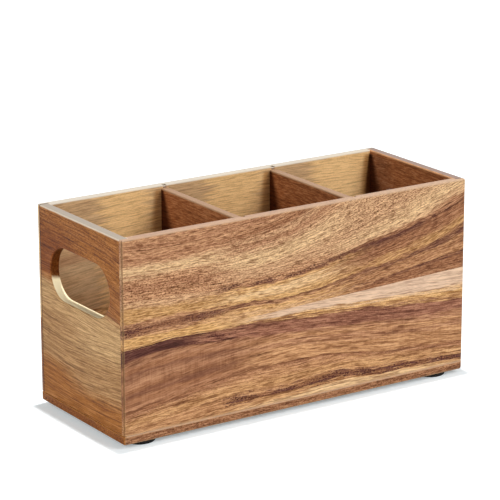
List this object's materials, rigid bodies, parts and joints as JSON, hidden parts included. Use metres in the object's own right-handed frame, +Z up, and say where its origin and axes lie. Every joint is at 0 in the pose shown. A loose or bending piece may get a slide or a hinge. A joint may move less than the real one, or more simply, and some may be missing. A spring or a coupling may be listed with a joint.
{
  "type": "cutlery organizer",
  "caption": "Open wooden box for standing cutlery and utensils, with upright dividers, a rounded hand hole through each end and round pads under the base.",
  "frame": {"origin": "middle of the footprint, on the surface that the pads stand on", "axes": "+X along the box towards its right end, +Y from the front towards the back, +Z up"},
  "size_m": [0.28, 0.1106, 0.143],
  "materials": {
    "acacia_golden": "oiled, satin",
    "acacia_brown": "oiled, satin",
    "acacia_pale": "oiled, satin",
    "acacia_plum": "oiled, satin",
    "acacia_red": "oiled, satin",
    "acacia_base": "oiled, satin",
    "acacia_dark": "oiled, satin",
    "pad_rubber": "matt"
  },
  "bodies": {
    "root": {"front_upper_board": "acacia_golden", "front_lower_board": "acacia_brown", "back_upper_board": "acacia_pale", "back_lower_board": "acacia_plum", "left_end_panel": "acacia_red", "right_end_panel": "acacia_red", "base_board": "acacia_base", "left_divider": "acacia_dark", "right_divider": "acacia_dark", "foot_front_left": "pad_rubber", "foot_front_right": "pad_rubber", "foot_back_left": "pad_rubber", "foot_back_right": "pad_rubber"}
  },
  "joints": []
}
